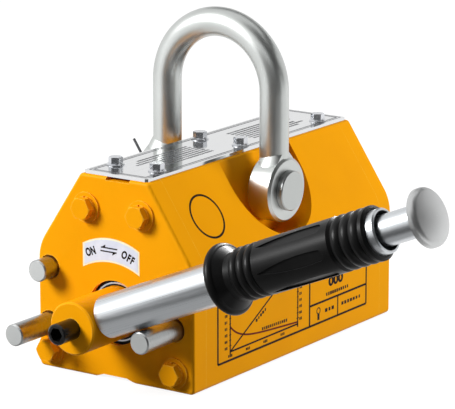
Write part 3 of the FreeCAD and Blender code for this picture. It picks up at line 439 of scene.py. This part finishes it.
SLOPE_FOOT = 79 * MM
SLOPE_RISE = 51 * MM
SLOPE_RUN = 34 * MM
COVER = panel((COVER_X, ROTOR_AXIS.y, ROTOR_AXIS.z), (0, -1, 0), (0, 0, 1))
SIDE = panel((0, SIDE_Y, 0), (1, 0, 0), (0, 0, 1))
PLATE = panel((0, 0, PLATE_Z), (1, 0, 0), (0, 1, 0))
SLOPE = panel((0, SIDE_Y, SLOPE_FOOT), (1, 0, 0), (0, SLOPE_RUN, SLOPE_RISE))


def slab(bm, outline):
    """Thin closed slab from an outline that runs anticlockwise."""
    top = [bm.verts.new((u, v, PROUD)) for u, v in outline]
    foot = [bm.verts.new((u, v, -SUNK)) for u, v in outline]
    bm.faces.new(top)
    bm.faces.new(foot[::-1])
    count = len(outline)
    for here in range(count):
        there = (here + 1) % count
        bm.faces.new((foot[here], foot[there], top[there], top[here]))


def band(bm, left, right, closed=False):
    """Thin closed slab between two rows of points; left lies on the left of the way along."""
    rows = [
        [bm.verts.new((u, v, w)) for u, v in side]
        for side, w in ((left, PROUD), (right, PROUD), (right, -SUNK), (left, -SUNK))
    ]
    count = len(left)
    for here in range(count if closed else count - 1):
        there = (here + 1) % count
        for row, after in zip(rows, rows[1:] + rows[:1]):
            bm.faces.new((row[here], after[here], after[there], row[there]))
    if not closed:
        bm.faces.new([row[0] for row in rows][::-1])
        bm.faces.new([row[-1] for row in rows])


def line(bm, start, end, width):
    """Straight line between two points."""
    start, end = Vector(start), Vector(end)
    side = (end - start).orthogonal().normalized() * width / 2
    band(bm, [start + side, end + side], [start - side, end - side])


def curve_line(bm, points, width):
    """Line along a row of points, square to it everywhere."""
    points = [Vector(p) for p in points]
    left, right = [], []
    for index, point in enumerate(points):
        ahead = points[min(index + 1, len(points) - 1)] - points[max(index - 1, 0)]
        side = ahead.orthogonal().normalized() * width / 2
        left.append(point + side)
        right.append(point - side)
    band(bm, left, right)


def closed_line(bm, corners, width):
    """Lines from each corner to the next, and back to the first."""
    for start, end in zip(corners, corners[1:] + corners[:1]):
        line(bm, start, end, width)


def ring(bm, centre, radius, width, count=96):
    """Round line; the radius is taken to its middle."""
    turns = [2 * math.pi * n / count for n in range(count)]
    inner, outer = (
        [(centre[0] + r * math.cos(t), centre[1] + r * math.sin(t)) for t in turns]
        for r in (radius - width / 2, radius + width / 2)
    )
    band(bm, inner, outer, closed=True)


def lay(name, mesh, where, material):
    """Finished piece on the block from a flat mesh and the panel it lies on."""
    mesh.transform(where)
    mesh.materials.clear()
    mesh.materials.append(material)
    piece = add_object(name, mesh)
    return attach(piece, "block")


def lay_drawing(name, bm, where, material):
    """Finished piece from a drawing, which is used up."""
    mesh = bpy.data.meshes.new(name)
    bm.to_mesh(mesh)
    bm.free()
    return lay(name, mesh, where, material)


def plain_mesh(item):
    """Mesh of an object's evaluated shape; the object is removed."""
    seen = item.evaluated_get(bpy.context.evaluated_depsgraph_get())
    mesh = bpy.data.meshes.new_from_object(seen)
    bpy.data.objects.remove(item)
    return mesh


# A row's marks: the smallest as a share of the largest, and the largest as a share of the step
SMALLEST_MARK = (0.55, 0.8, 1.0)
MARK_FILL = 0.8


def mark_row_tree():
    """Geometry nodes for a row of small bars of uneven width, as a line of print reads from afar."""
    tree = bpy.data.node_groups.new("mark_row", "GeometryNodeTree")
    sockets = {
        "Count": "NodeSocketInt", "Start": "NodeSocketVector", "Step": "NodeSocketVector",
        "Mark Size": "NodeSocketVector", "Seed": "NodeSocketInt", "Ink": "NodeSocketMaterial",
    }
    for label, kind in sockets.items():
        tree.interface.new_socket(label, in_out="INPUT", socket_type=kind)
    tree.interface.new_socket("Geometry", in_out="OUTPUT", socket_type="NodeSocketGeometry")
    given = tree.nodes.new("NodeGroupInput").outputs
    spots = add_node(tree, "GeometryNodeMeshLine", {
        "Count": given["Count"], "Start Location": given["Start"], "Offset": given["Step"],
    }, mode="OFFSET")
    bar = add_node(tree, "GeometryNodeMeshCube", {"Size": given["Mark Size"]})
    uneven = add_node(tree, "FunctionNodeRandomValue", {
        "Min": SMALLEST_MARK, "Max": (1.0, 1.0, 1.0), "Seed": given["Seed"],
    }, data_type="FLOAT_VECTOR")
    bars = add_node(tree, "GeometryNodeInstanceOnPoints", {
        "Points": spots.outputs[0], "Instance": bar.outputs[0], "Scale": uneven.outputs[0],
    })
    real = add_node(tree, "GeometryNodeRealizeInstances", {0: bars.outputs[0]})
    inked = add_node(tree, "GeometryNodeSetMaterial",
                     {"Geometry": real.outputs[0], "Material": given["Ink"]})
    add_node(tree, "NodeGroupOutput", {0: inked.outputs[0]})
    return tree


MARK_ROW = mark_row_tree()


def mark_row(bm, count, start, end, height, ink, seed):
    """Add a row of bars to a drawing, between two points."""
    step = (Vector(end) - Vector(start)) / (count - 1)
    width = step.length * MARK_FILL
    thick = PROUD + SUNK
    middle = (PROUD - SUNK) / 2
    values = {
        "Count": count, "Start": (*start, middle), "Step": (*step, 0.0),
        "Mark Size": (width, height, thick), "Seed": seed, "Ink": ink,
    }
    item = add_object("mark_row", bpy.data.meshes.new("mark_row"))
    nodes = item.modifiers.new("marks", "NODES")
    nodes.node_group = MARK_ROW
    for socket in MARK_ROW.interface.items_tree:
        if socket.in_out == "INPUT":
            nodes[socket.identifier] = values[socket.name]
    bm.from_mesh(plain_mesh(item))


def short_row(bm, count, middle, level, half, height, ink, seed):
    """Row of bars centred on a place, as a number on a scale."""
    mark_row(bm, count, (middle - half, level), (middle + half, level), height, ink, seed)


STROKE_WEIGHT = 0.045


def word(name, letters, size, width, where, material, spacing=1.0):
    """Bold lettering as a thin solid, centred on its place and narrowed or widened."""
    text = bpy.data.curves.new(name, "FONT")
    text.body = letters
    text.size = size
    text.align_x = "CENTER"
    text.align_y = "CENTER"
    text.offset = STROKE_WEIGHT * size
    text.space_character = spacing
    text.extrude = PROUD / 2
    mesh = plain_mesh(add_object(name, text))
    mesh.transform(Matrix.Diagonal((width, 1, 1, 1)))
    return lay(name, mesh, where, material)


# Label over the hub: an arched white band with the two positions and half arrows between them
LABEL_MIDDLE = -2.4 * MM
LABEL_HALF = 21.9 * MM
LABEL_TOP = 47.6 * MM
LABEL_FOOT = 32.2 * MM
LABEL_ARCH = 45 * MM
LABEL_BORDER = 1.1 * MM
ARCH_STEPS = 24
LETTER_SIZE = 6.9 * MM
LETTER_WIDTH = 0.72
# Each word's letters, place to the right and up, tilt in degrees and spacing
LABEL_WORDS = (
    ("ON", -18.1 * MM, 37.0 * MM, 21, 1.0),
    ("OFF", 10.6 * MM, 37.1 * MM, -24, 1.26),
)
# Each half arrow's tail, tip and barb
HALF_ARROWS = (
    ((2.6 * MM, 41.2 * MM), (-9.9 * MM, 41.2 * MM), 2.0 * MM),
    ((-10.4 * MM, 38.9 * MM), (2.1 * MM, 38.9 * MM), -2.0 * MM),
)
ARROW_SHAFT = 0.8 * MM
# How far back along the shaft the barb's end and its root lie
BARB_END = 0.27
BARB_ROOT = 0.24


def arched_band(inset):
    """Outline of the label: two like arches joined by upright sides."""
    half = LABEL_HALF - inset
    across = [half * (2 * n / ARCH_STEPS - 1) for n in range(ARCH_STEPS + 1)]
    drop = [LABEL_ARCH - math.sqrt(LABEL_ARCH ** 2 - a ** 2) for a in across]
    foot = [(LABEL_MIDDLE + a, LABEL_FOOT + inset - d) for a, d in zip(across, drop)]
    top = [(LABEL_MIDDLE + a, LABEL_TOP - inset - d) for a, d in zip(across, drop)]
    return foot + top[::-1]


def half_arrow(bm, tail, tip, barb):
    """Thin shaft with a barb on one side of its tip."""
    line(bm, tail, tip, ARROW_SHAFT)
    back = (tip[0] + (tail[0] - tip[0]) * BARB_END, tip[1] + barb)
    corner = (tip[0] + (tail[0] - tip[0]) * BARB_ROOT, tip[1])
    points = [tip, corner, back]
    turn = (corner[0] - tip[0]) * (back[1] - tip[1]) - (corner[1] - tip[1]) * (back[0] - tip[0])
    slab(bm, points if turn > 0 else points[::-1])


def cover_label(ink):
    """Label in three layers: cream border, white field, then arrows and words."""
    cream = printed("label_cream", srgb(250, 240, 196), srgb(255, 248, 214))
    white = printed("label_white", srgb(214, 221, 238), srgb(228, 234, 246))
    border = bmesh.new()
    slab(border, arched_band(0))
    lay_drawing("label_border", border, COVER, cream)
    field = bmesh.new()
    slab(field, arched_band(LABEL_BORDER))
    lay_drawing("label_field", field, COVER @ Matrix.Translation((0, 0, PROUD)), white)
    over = COVER @ Matrix.Translation((0, 0, 2 * PROUD))
    arrows = bmesh.new()
    for tail, tip, barb in HALF_ARROWS:
        half_arrow(arrows, tail, tip, barb)
    lay_drawing("label_arrows", arrows, over, ink)
    for letters, right, up, tilt, spacing in LABEL_WORDS:
        spot = Matrix.Translation((right, up, 0)) @ Matrix.Rotation(math.radians(tilt), 4, "Z")
        word(f"label_{letters.lower()}", letters, LETTER_SIZE, LETTER_WIDTH, over @ spot, ink, spacing)


# Chart printed on the side: a ruled frame, axes, one rising and one falling line, rows of small marks
CHART_LEFT = -89.5 * MM
CHART_RIGHT = 85 * MM
CHART_FOOT = 13.4 * MM
CHART_TOP = 60 * MM
CHART_DIVIDE = 15.4 * MM
CELL_TOP = 27 * MM
CELL_DIVIDE = 49.6 * MM
AXIS_LEFT = -76 * MM
AXIS_RIGHT = 1.2 * MM
AXIS_FOOT = 18.8 * MM
AXIS_TAIL = 2 * MM
AXIS_HEAD = 6 * MM
RULE = 1.45 * MM
FINE_RULE = 1.15 * MM
RISING_END = (AXIS_LEFT + 58 * MM, AXIS_FOOT + 32 * MM)
# Ticks on the two upright axes, and the numbers beside them
TICKS = 9
TICK_FOOT = 4 * MM
TICK_HEAD = 9 * MM
TICK_HEIGHT = 0.5 * MM
UPRIGHT_NUMBERS = 8
UPRIGHT_DIGITS = 2
UPRIGHT_FOOT = 3 * MM
UPRIGHT_STEP = 4.2 * MM
UPRIGHT_HALF = 0.8 * MM
UPRIGHT_HEIGHT = 2.0 * MM
UPRIGHT_AWAY = {AXIS_LEFT: -4.6 * MM, AXIS_RIGHT: 3.4 * MM}
# Numbers under the foot axis
FOOT_NUMBERS = 4
FOOT_DIGITS = 3
FOOT_LEVEL = 16.2 * MM
FOOT_STEP = 19.8 * MM
FOOT_HALF = 1.6 * MM
FOOT_HEIGHT = 1.9 * MM
# Rows in place of words: number of marks, start, end, height and seed
WORD_ROWS = (
    (13, (-39.5 * MM, 25.2 * MM), (-12 * MM, 24.4 * MM), 2.2 * MM, 3),
    (5, (-46.4 * MM, 32.4 * MM), (-36.6 * MM, 37.2 * MM), 2.0 * MM, 4),
    (11, (36 * MM, 30.8 * MM), (61.5 * MM, 30.8 * MM), 2.3 * MM, 7),
    (3, (35.5 * MM, 20.2 * MM), (43.5 * MM, 20.2 * MM), 2.8 * MM, 9),
    (7, (55.5 * MM, 20.4 * MM), (76.5 * MM, 20.4 * MM), 2.3 * MM, 11),
)
# Small round sign on a stem in the first cell
SIGN_ACROSS = 26.1 * MM
SIGN_MIDDLE = 21.8 * MM
SIGN_RADIUS = 2.0 * MM
SIGN_RULE = 0.7 * MM
SIGN_STEPS = 40
STEM_FOOT = 15.6 * MM
STEM_TOP = 19.6 * MM
STEM_WIDTH = 2.4 * MM
# Plain number in the upper cell
NUMBER_PLACE = (47 * MM, 38.4 * MM, PROUD / 2)
NUMBER_SIZE = 8.6 * MM
NUMBER_WIDTH = 1.35
# Falling line: a steep start that dies away over a slight even slope
FALL_HEIGHT = 9.4 * MM
FALL_SPAN = 9.75 * MM
FALL_LEVEL = 25.7 * MM
FALL_SLOPE = 0.072
FALL_STEPS = 40


def chart_lines(ink):
    """Drawing of the chart's frame, axes, numbers and rows."""
    lines = bmesh.new()
    closed_line(lines, [
        (CHART_LEFT, CHART_FOOT), (CHART_RIGHT, CHART_FOOT),
        (CHART_RIGHT, CHART_TOP), (CHART_LEFT, CHART_TOP),
    ], RULE)
    line(lines, (CHART_DIVIDE, CHART_FOOT), (CHART_DIVIDE, CHART_TOP), RULE)
    line(lines, (CHART_DIVIDE, CELL_TOP), (CHART_RIGHT, CELL_TOP), RULE)
    line(lines, (CELL_DIVIDE, CHART_FOOT), (CELL_DIVIDE, CELL_TOP), FINE_RULE)
    line(lines, (AXIS_LEFT, AXIS_FOOT), (AXIS_RIGHT, AXIS_FOOT), FINE_RULE)
    line(lines, (AXIS_LEFT, AXIS_FOOT), RISING_END, FINE_RULE)
    for side, away in UPRIGHT_AWAY.items():
        line(lines, (side, AXIS_FOOT - AXIS_TAIL), (side, CHART_TOP - AXIS_HEAD), FINE_RULE)
        foot, head = AXIS_FOOT + TICK_FOOT, CHART_TOP - TICK_HEAD
        mark_row(lines, TICKS, (side, foot), (side, head), TICK_HEIGHT, ink, seed=1)
        for number in range(UPRIGHT_NUMBERS):
            level = AXIS_FOOT + UPRIGHT_FOOT + UPRIGHT_STEP * number
            short_row(lines, UPRIGHT_DIGITS, side + away, level, UPRIGHT_HALF, UPRIGHT_HEIGHT, ink, number)
    for number in range(FOOT_NUMBERS):
        place = AXIS_LEFT + FOOT_STEP * number
        short_row(lines, FOOT_DIGITS, place, FOOT_LEVEL, FOOT_HALF, FOOT_HEIGHT, ink, number)
    for count, start, end, height, seed in WORD_ROWS:
        mark_row(lines, count, start, end, height, ink, seed)
    ring(lines, (SIGN_ACROSS, SIGN_MIDDLE), SIGN_RADIUS, SIGN_RULE, SIGN_STEPS)
    line(lines, (SIGN_ACROSS, STEM_FOOT), (SIGN_ACROSS, STEM_TOP), STEM_WIDTH)
    return lines


def side_chart(ink, red_ink):
    """Chart's lines, its plain number and its falling line."""
    lay_drawing("side_chart", chart_lines(ink), SIDE, ink)
    where = SIDE @ Matrix.Translation(NUMBER_PLACE)
    word("side_chart_number", "000", NUMBER_SIZE, NUMBER_WIDTH, where, ink)
    points = []
    for number in range(FALL_STEPS + 1):
        along = (AXIS_RIGHT - AXIS_LEFT) * number / FALL_STEPS
        fall = FALL_HEIGHT * math.exp(-along / FALL_SPAN)
        points.append((AXIS_LEFT + along, FALL_LEVEL - FALL_SLOPE * along + fall))
    falling = bmesh.new()
    curve_line(falling, points, FINE_RULE)
    lay_drawing("side_chart_curve", falling, SIDE, red_ink)


SEAL_RING_INSET = 3.3 * MM
SEAL_RING_WIDTH = 1.0 * MM


def seal_ring(metal):
    """Bright steel ring in the face of the shaft seal, close round the hub."""
    low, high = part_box("shaft_seal")
    marks = bmesh.new()
    ring(marks, (0, 0), (high.y - low.y) / 2 - SEAL_RING_INSET, SEAL_RING_WIDTH)
    face = panel((low.x, ROTOR_AXIS.y, ROTOR_AXIS.z), (0, -1, 0), (0, 0, 1))
    piece = lay_drawing("seal_ring", marks, face, metal)


# Place of the slope's ring, along the side and as a share of the way up the slope
SLOPE_RING_ALONG = -77 * MM
SLOPE_RING_UP = 0.49
SLOPE_RING_RADIUS = 14.6 * MM
SLOPE_RING_WIDTH = 1.4 * MM


def slope_ring(ink):
    """Bare round field on the sloped side, outlined by a printed ring."""
    marks = bmesh.new()
    centre = (SLOPE_RING_ALONG, math.hypot(SLOPE_RISE, SLOPE_RUN) * SLOPE_RING_UP)
    ring(marks, centre, SLOPE_RING_RADIUS, SLOPE_RING_WIDTH)
    lay_drawing("slope_ring", marks, SLOPE, ink)


# Top plate: each ruled border's inset and width, then the rows of marks, ragged at their outer ends
PLATE_RULES = ((2.6 * MM, 0.5 * MM), (4.6 * MM, 0.8 * MM))
PLATE_ROWS = 7
PLATE_ROW_MARKS = 26
PLATE_ROW_HEIGHT = 1.9 * MM
PLATE_ROW_TOP = 10.5 * MM
PLATE_ROW_STEP = 3.5 * MM
PLATE_ROW_START = 24 * MM
PLATE_ROW_END = 76 * MM
PLATE_ROW_RAGGED = 5 * MM
PLATE_ROW_LENGTHS = 3
# First seed of the rows on the left and on the right
PLATE_SEEDS = {-1: 2, 1: 16}


def plate_marks(ink):
    """Fine ruled borders and rows of small marks on the top plate."""
    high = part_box("top_plate")[1]
    marks = bmesh.new()
    for inset, width in PLATE_RULES:
        far, wide = high.x - inset, high.y - inset
        closed_line(marks, [(-far, -wide), (far, -wide), (far, wide), (-far, wide)], width)
    for side, seed in PLATE_SEEDS.items():
        for number in range(PLATE_ROWS):
            level = PLATE_ROW_TOP - PLATE_ROW_STEP * number
            start = side * PLATE_ROW_START
            end = side * (PLATE_ROW_END + PLATE_ROW_RAGGED * (number % PLATE_ROW_LENGTHS))
            mark_row(marks, PLATE_ROW_MARKS, (start, level), (end, level), PLATE_ROW_HEIGHT, ink,
                     seed + number)
    lay_drawing("plate_marks", marks, PLATE, ink)


# Floor, light and camera
LOOK_AT = Vector((2.71, -3.88, 90.31)) * MM
CAMERA_TURN = math.radians(-55.51)
CAMERA_RISE = math.radians(13.55)
CAMERA_AWAY = 1860.04 * MM
CAMERA_LENS = 225.46
CAMERA_SENSOR = 36
WHITE = (1, 1, 1, 1)
SOFT_WORLD = 0.09
FLOOR_HALF = 6.0
FLOOR_LEVEL = -0.2 * MM
FLOOR_COLOUR = (0.2, 0.2, 0.2, 1)
WHITE_FLOOR = 0.90


def direction(turn, rise):
    """Unit vector from the object towards a place round it, turned as the camera's azimuth is."""
    return Vector((math.sin(turn) * math.cos(rise), -math.cos(turn) * math.cos(rise), math.sin(rise)))


def seen_rays(tree):
    """Mask of the rays that show the background: from the camera, a reflection or glass, but not
    what metal would throw on to the matt surfaces beside it."""
    rays = add_node(tree, "ShaderNodeLightPath").outputs
    total = math_node(tree, "ADD", rays["Is Camera Ray"], rays["Is Glossy Ray"])
    shown = math_node(tree, "ADD", total, rays["Is Transmission Ray"], clamp=True)
    return math_node(tree, "SUBTRACT", shown, rays["Diffuse Depth"], clamp=True)


def make_world():
    """White where it shows, and a faint even light elsewhere."""
    world = bpy.data.worlds.new("studio")
    bpy.context.scene.world = world
    world.use_nodes = True
    tree = world.node_tree
    tree.nodes.clear()
    soft = add_node(tree, "ShaderNodeBackground", {"Color": WHITE, "Strength": SOFT_WORLD})
    shown = add_node(tree, "ShaderNodeBackground", {"Color": WHITE, "Strength": 1.0})
    both = add_node(tree, "ShaderNodeMixShader", {
        0: seen_rays(tree), 1: soft.outputs[0], 2: shown.outputs[0],
    })
    add_node(tree, "ShaderNodeOutputWorld", {"Surface": both.outputs[0]})


def lying(low, high, level=0):
    """Corners of a sheet that lies flat between two corners."""
    (left, near), (right, far) = low, high
    return [(left, near, level), (right, near, level), (right, far, level), (left, far, level)]


def four_sided(name, corners, material):
    """Flat sheet from its four corners."""
    mesh = bpy.data.meshes.new(name)
    mesh.from_pydata(corners, [], [(0, 1, 2, 3)])
    mesh.materials.append(material)
    return add_object(name, mesh)


def make_floor():
    """Pale floor that keeps the shadow and looks white where it is lit."""
    material, tree = new_material("pale_floor")
    matt = add_node(tree, "ShaderNodeBsdfDiffuse", {"Color": FLOOR_COLOUR})
    lift = math_node(tree, "MULTIPLY", seen_rays(tree), WHITE_FLOOR)
    glow = add_node(tree, "ShaderNodeEmission", {"Strength": lift})
    both = add_node(tree, "ShaderNodeAddShader", {0: matt.outputs[0], 1: glow.outputs[0]})
    add_node(tree, "ShaderNodeOutputMaterial", {"Surface": both.outputs[0]})
    corners = lying((-FLOOR_HALF, -FLOOR_HALF), (FLOOR_HALF, FLOOR_HALF), FLOOR_LEVEL)
    floor = four_sided("floor", corners, material)


def add_lamp(name, turn, rise, away, size, power, mirrored=True):
    """Square soft lamp turned to the object; an unmirrored one stays out of reflections."""
    data = bpy.data.lights.new(name, "AREA")
    data.shape = "SQUARE"
    data.size = size
    data.energy = power
    lamp = add_object(name, data)
    way = direction(math.radians(turn), math.radians(rise))
    lamp.location = LOOK_AT + way * away
    lamp.rotation_euler = way.to_track_quat("Z", "Y").to_euler()
    lamp.visible_glossy = mirrored
    return lamp


def flag_lamp(lamp, state, *nodes):
    """Keep a lamp off some pieces, or on those pieces alone, as flags held in front of it do."""
    flagged = bpy.data.collections.new(f"{lamp.name}_flag")
    for node in nodes:
        flagged.objects.link(NODES[node])
    for row in flagged.collection_objects:
        row.light_linking.link_state = state
    lamp.light_linking.receiver_collection = flagged


def add_card(name, corners, shade):
    """Grey card that only reflections show, as a flag held beside bright metal."""
    material, tree = new_material(name)
    dark = add_node(tree, "ShaderNodeEmission", {"Color": (shade, shade, shade, 1), "Strength": 1.0})
    add_node(tree, "ShaderNodeOutputMaterial", {"Surface": dark.outputs[0]})
    card = four_sided(name, corners, material)
    card.visible_camera = False
    card.visible_diffuse = False
    card.visible_shadow = False
    card.visible_transmission = False


def standing(turn, away, width, height):
    """Corners of a card that stands on the floor."""
    way = direction(math.radians(turn), 0)
    side = way.cross((0, 0, 1)) * width / 2
    foot = way * away
    top = foot + Vector((0, 0, height))
    return [foot - side, foot + side, top + side, top - side]


def hanging(turn, rise, away, width, height):
    """Corners of a card held up and turned to the object."""
    way = direction(math.radians(turn), math.radians(rise))
    side = way.cross((0, 0, 1)).normalized() * width / 2
    up = side.cross(way).normalized() * height / 2
    middle = LOOK_AT + way * away
    return [middle - side - up, middle + side - up, middle + side + up, middle - side + up]


def make_camera():
    """Camera solved from the block's edges in the photo."""
    data = bpy.data.cameras.new("camera")
    data.sensor_fit = "HORIZONTAL"
    data.sensor_width = CAMERA_SENSOR
    data.lens = CAMERA_LENS
    camera = add_object("camera", data)
    way = direction(CAMERA_TURN, CAMERA_RISE)
    camera.location = LOOK_AT + way * CAMERA_AWAY
    camera.rotation_euler = way.to_track_quat("Z", "Y").to_euler()
    bpy.context.scene.camera = camera


FINISHES = dress_nodes()
closing_spring()
BLACK_INK = printed("black_ink", srgb(18, 10, 7), srgb(30, 17, 12))
RED_INK = printed("red_ink", srgb(96, 26, 14), srgb(112, 34, 18))
GREY_INK = printed("grey_ink", srgb(96, 97, 100), srgb(120, 121, 124))
cover_label(BLACK_INK)
side_chart(BLACK_INK, RED_INK)
seal_ring(FINISHES["zinc_bolts"])
slope_ring(BLACK_INK)
plate_marks(GREY_INK)

make_world()
make_floor()
# Turns and rises are in degrees
key_lamp = add_lamp("key_lamp", turn=-125, rise=30, away=2.0, size=0.7, power=46)
flag_lamp(key_lamp, "EXCLUDE", "bar_knob", "top_plate")
fill_lamp = add_lamp("fill_lamp", turn=54, rise=14, away=2.0, size=0.7, power=45, mirrored=False)
flag_lamp(fill_lamp, "EXCLUDE", "rotor_hub")
grip_lamp = add_lamp("grip_lamp", turn=98, rise=34, away=2.0, size=0.6, power=60)
flag_lamp(grip_lamp, "INCLUDE", "grip")
add_lamp("top_lamp", turn=-40, rise=82, away=1.8, size=0.8, power=8, mirrored=False)
add_card("camera_card", standing(turn=-48, away=0.45, width=0.96, height=0.35), shade=0.11)
add_card("left_card", standing(turn=-78, away=0.31, width=0.38, height=0.085), shade=0.14)
add_card("left_floor_card", lying(low=(-0.30, -0.28), high=(-0.225, 0.12)), shade=0.14)
add_card("near_floor_card", lying(low=(-0.225, -0.28), high=(-0.118, 0.12)), shade=0.48)
add_card("right_card", hanging(turn=-8, rise=33, away=1.2, width=1.1, height=0.8), shade=0.08)
add_card("upper_card", hanging(turn=40, rise=47, away=1.3, width=1.5, height=0.5), shade=0.08)
add_card("back_card", hanging(turn=100, rise=47, away=1.3, width=1.6, height=0.5), shade=0.12)
add_card("high_card", hanging(turn=-30, rise=62, away=1.2, width=0.8, height=0.8), shade=0.08)
add_card("knob_card", hanging(turn=27, rise=14, away=1.2, width=0.36, height=0.36), shade=0.0)
make_camera()
bpy.context.scene.view_settings.view_transform = "Standard"
